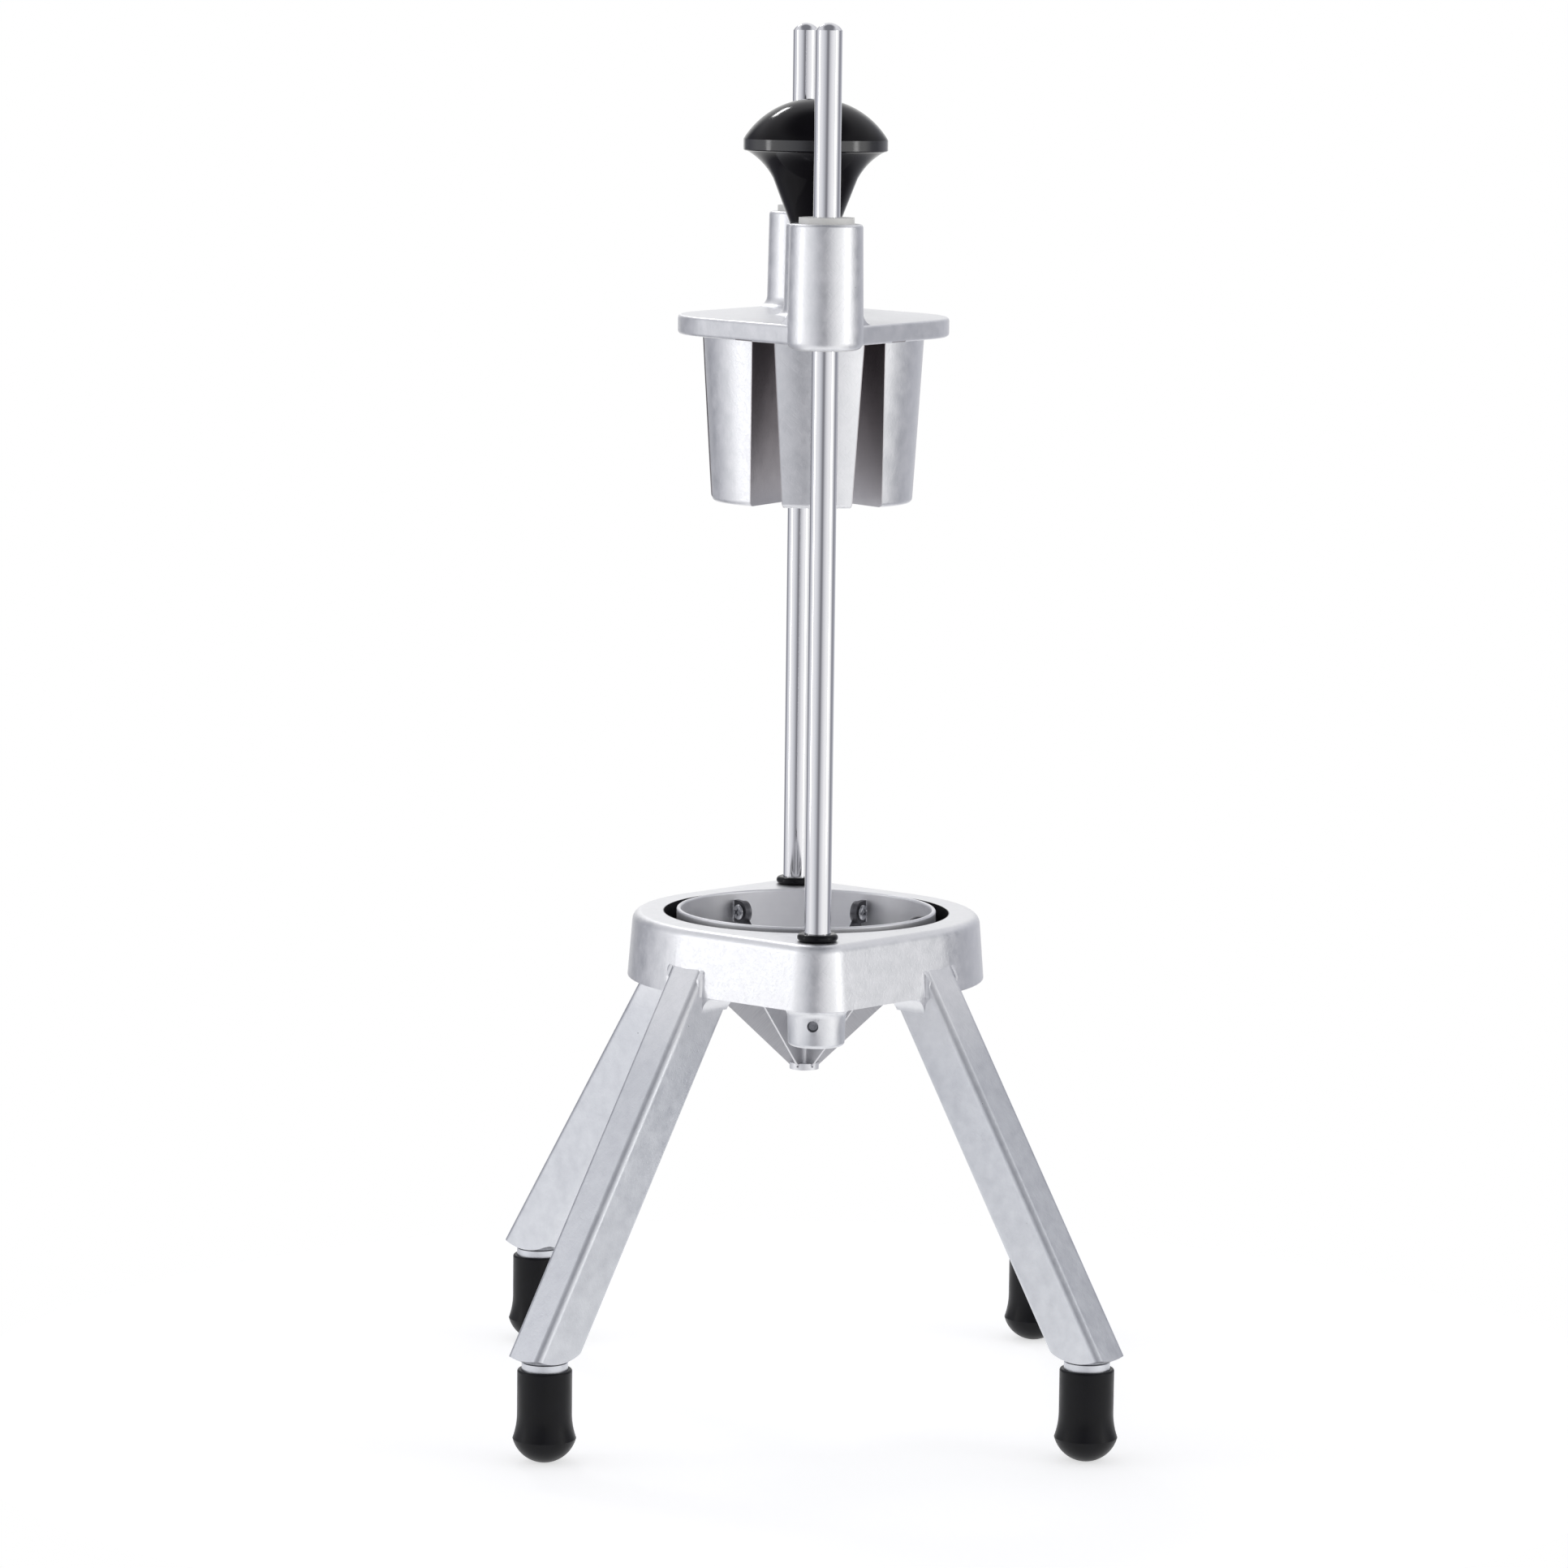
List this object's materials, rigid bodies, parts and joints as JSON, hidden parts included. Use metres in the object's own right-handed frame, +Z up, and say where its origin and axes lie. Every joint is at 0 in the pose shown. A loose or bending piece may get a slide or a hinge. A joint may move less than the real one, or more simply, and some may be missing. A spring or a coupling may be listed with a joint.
{
  "type": "fruit wedger",
  "caption": "Push-down fruit wedger: a fingered pusher with a ball knob slides on guide rods over a ring of sloped blades, on a cast base with splayed, rubber-tipped legs.",
  "frame": {"origin": "on the table, under the middle of the blades", "axes": "+Z up along the guide rods, -Y to the front, +X to the right seen from the front"},
  "size_m": [0.2182, 0.2182, 0.5072],
  "materials": {
    "cast_aluminium": "tumbled satin",
    "polished_steel": "polished",
    "satin_stainless": "satin",
    "ground_stainless": "ground",
    "steel_hardware": "bright",
    "black_rubber": "satin",
    "white_nylon": "matte",
    "black_phenolic": "gloss"
  },
  "bodies": {
    "base": {"base_frame": "cast_aluminium", "foot_front_left": "black_rubber", "foot_front_right": "black_rubber", "foot_rear_left": "black_rubber", "foot_rear_right": "black_rubber", "guide_rod_front": "polished_steel", "guide_rod_rear": "polished_steel", "rod_pin_front": "steel_hardware", "rod_pin_rear": "steel_hardware", "bumper_front": "black_rubber", "bumper_rear": "black_rubber", "blade_ring": "satin_stainless", "ring_screws": "steel_hardware", "blade_hub": "satin_stainless", "blade_screws": "steel_hardware", "blade_right": "ground_stainless", "blade_rear_right": "ground_stainless", "blade_rear_left": "ground_stainless", "blade_left": "ground_stainless", "blade_front_left": "ground_stainless", "blade_front_right": "ground_stainless"},
    "pusher": {"pusher_head": "cast_aluminium", "bush_front_upper": "white_nylon", "bush_front_lower": "white_nylon", "bush_rear_upper": "white_nylon", "bush_rear_lower": "white_nylon", "knob": "black_phenolic", "knob_stud": "steel_hardware"}
  },
  "joints": [
    {"name": "pusher_slide", "type": "slide", "parent": "base", "child": "pusher", "axis": [0, 0, 1], "range_m": [-0.207, 0.06]}
  ]
}
